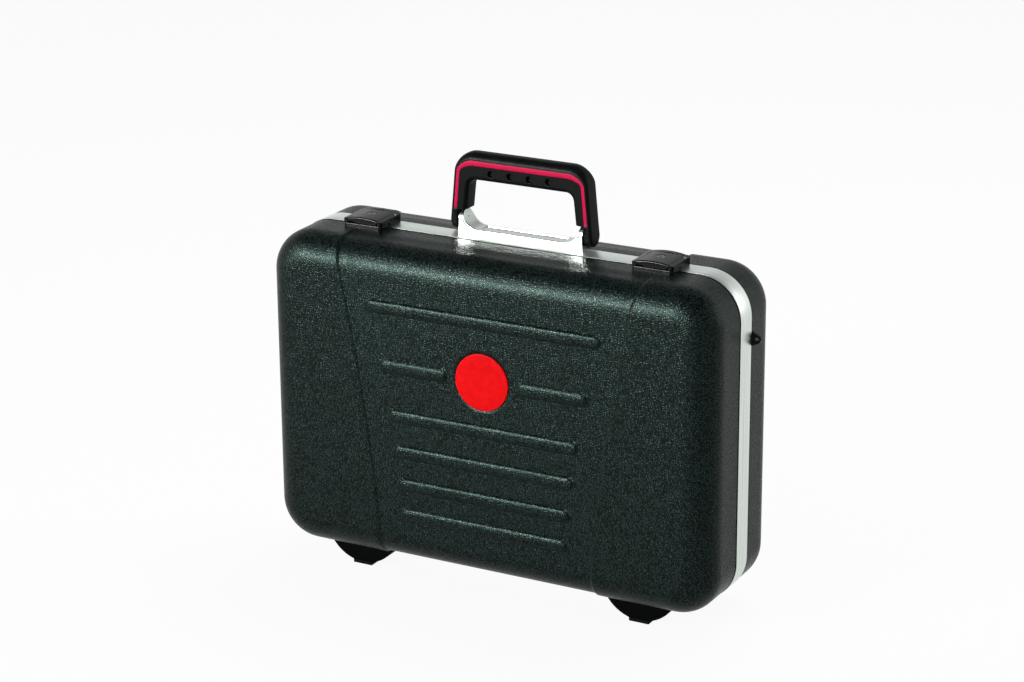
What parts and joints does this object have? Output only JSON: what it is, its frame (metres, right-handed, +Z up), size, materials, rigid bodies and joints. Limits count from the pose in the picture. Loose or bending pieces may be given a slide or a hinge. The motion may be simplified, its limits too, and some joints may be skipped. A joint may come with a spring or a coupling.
{
  "type": "hard tool case",
  "caption": "Hard tool case standing on its feet: moulded lid and base shells on an aluminium band, folding carry handle, draw latches with locks, hinged lid.",
  "frame": {"origin": "on the floor under the middle of the case, halfway between the lid's face and the base's back", "axes": "+X across the case to the right as seen from the lid's face, +Y from the lid's face to the base's back, +Z up to the handle"},
  "size_m": [0.489, 0.1408, 0.4175],
  "materials": {
    "shell_black": "black ABS, fine moulded grain",
    "band_aluminium": "satin anodised, fine lengthwise lines",
    "tray_black": "vacuum-formed, satin",
    "divider_grey": "satin grey",
    "fitting_black": "fine matt",
    "seal_rubber": "matt black",
    "board_fabric": "black lining cloth on board",
    "pocket_fabric": "black woven pockets",
    "steel": "zinc plated",
    "badge_red": "bare bright red, gloss",
    "foot_black": "matt black",
    "pad_rubber": "matt black",
    "bracket_diecast": "satin die-cast",
    "grip_black": "soft satin black",
    "inlay_red": "crimson, satin",
    "latch_black": "semi-gloss black",
    "lock_metal": "satin nickel"
  },
  "bodies": {
    "case": {"base_shell": "shell_black", "base_frame": "band_aluminium", "base_tray": "tray_black", "base_dividers": "divider_grey", "tray_studs": "fitting_black", "hinge_leaf_base": "steel", "hinge_pin": "steel", "hinge_rivets_base": "steel", "foot_base_left": "foot_black", "foot_base_right": "foot_black", "foot_pads_base": "pad_rubber", "foot_screws_base": "steel", "handle_bracket": "bracket_diecast", "bracket_screws": "steel", "handle_pin_left": "steel", "handle_pin_right": "steel", "latch_body_left": "latch_black", "latch_body_right": "latch_black", "latch_screws": "steel", "flap_pin_left": "steel", "flap_pin_right": "steel", "stay_post_left": "steel", "stay_post_right": "steel", "strap_lug_left": "fitting_black", "strap_lug_right": "fitting_black", "lug_rivets": "steel"},
    "lid": {"lid_shell": "shell_black", "lid_frame": "band_aluminium", "lid_seal": "seal_rubber", "lid_board": "board_fabric", "tool_pockets": "pocket_fabric", "board_studs": "steel", "badge_disc": "badge_red", "hinge_leaf_lid": "steel", "hinge_rivets_lid": "steel", "foot_lid_left": "foot_black", "foot_lid_right": "foot_black", "foot_pads_lid": "pad_rubber", "foot_screws_lid": "steel", "latch_keeper_left": "latch_black", "latch_keeper_right": "latch_black", "keeper_screws": "steel", "stay_guide_left": "steel", "stay_guide_right": "steel"},
    "handle": {"handle_grip": "grip_black", "grip_inlay_front": "inlay_red", "grip_inlay_rear": "inlay_red"},
    "flap_left": {"latch_flap_left": "latch_black", "claw_pins_left": "steel"},
    "claw_left": {"latch_claw_left": "steel"},
    "lock_left": {"lock_cylinder_left": "lock_metal", "lock_cam_left": "steel"},
    "stay_left": {"stay_arm_left": "steel"},
    "flap_right": {"latch_flap_right": "latch_black", "claw_pins_right": "steel"},
    "claw_right": {"latch_claw_right": "steel"},
    "lock_right": {"lock_cylinder_right": "lock_metal", "lock_cam_right": "steel"},
    "stay_right": {"stay_arm_right": "steel"}
  },
  "joints": [
    {"name": "lid_hinge", "type": "hinge", "parent": "case", "child": "lid", "pos_m": [0, -0.0091, 0.0185], "axis": [1, 0, 0], "range_deg": [0, 95]},
    {"name": "handle_fold", "type": "hinge", "parent": "case", "child": "handle", "pos_m": [0, 0.018, 0.3505], "axis": [1, 0, 0], "range_deg": [-90, 90]},
    {"name": "flap_lift_left", "type": "hinge", "parent": "case", "child": "flap_left", "pos_m": [-0.153, 0.0064, 0.3465], "axis": [-1, 0, 0], "range_deg": [0, 75]},
    {"name": "claw_swing_left", "type": "hinge", "parent": "flap_left", "child": "claw_left", "pos_m": [-0.153, -0.0036, 0.3436], "axis": [1, 0, 0], "range_deg": [0, 50]},
    {"name": "lock_turn_left", "type": "hinge", "parent": "flap_left", "child": "lock_left", "pos_m": [-0.153, -0.0055, 0.3461], "axis": [0, 0, 1], "range_deg": [0, 90]},
    {"name": "stay_swing_left", "type": "hinge", "parent": "case", "child": "stay_left", "pos_m": [-0.2248, 0.004, 0.0785], "axis": [1, 0, 0], "range_deg": [0, 117.7]},
    {"name": "flap_lift_right", "type": "hinge", "parent": "case", "child": "flap_right", "pos_m": [0.153, 0.0064, 0.3465], "axis": [-1, 0, 0], "range_deg": [0, 75]},
    {"name": "claw_swing_right", "type": "hinge", "parent": "flap_right", "child": "claw_right", "pos_m": [0.153, -0.0036, 0.3436], "axis": [1, 0, 0], "range_deg": [0, 50]},
    {"name": "lock_turn_right", "type": "hinge", "parent": "flap_right", "child": "lock_right", "pos_m": [0.153, -0.0055, 0.3461], "axis": [0, 0, 1], "range_deg": [0, 90]},
    {"name": "stay_swing_right", "type": "hinge", "parent": "case", "child": "stay_right", "pos_m": [0.2248, 0.004, 0.0785], "axis": [1, 0, 0], "range_deg": [0, 117.7]}
  ],
  "couplings": [
    {"joint": "claw_swing_left", "follows": "flap_lift_left", "ratio": 0.6},
    {"joint": "stay_swing_left", "follows": "lid_hinge", "ratio": 1.228},
    {"joint": "claw_swing_right", "follows": "flap_lift_right", "ratio": 0.6},
    {"joint": "stay_swing_right", "follows": "lid_hinge", "ratio": 1.228}
  ]
}
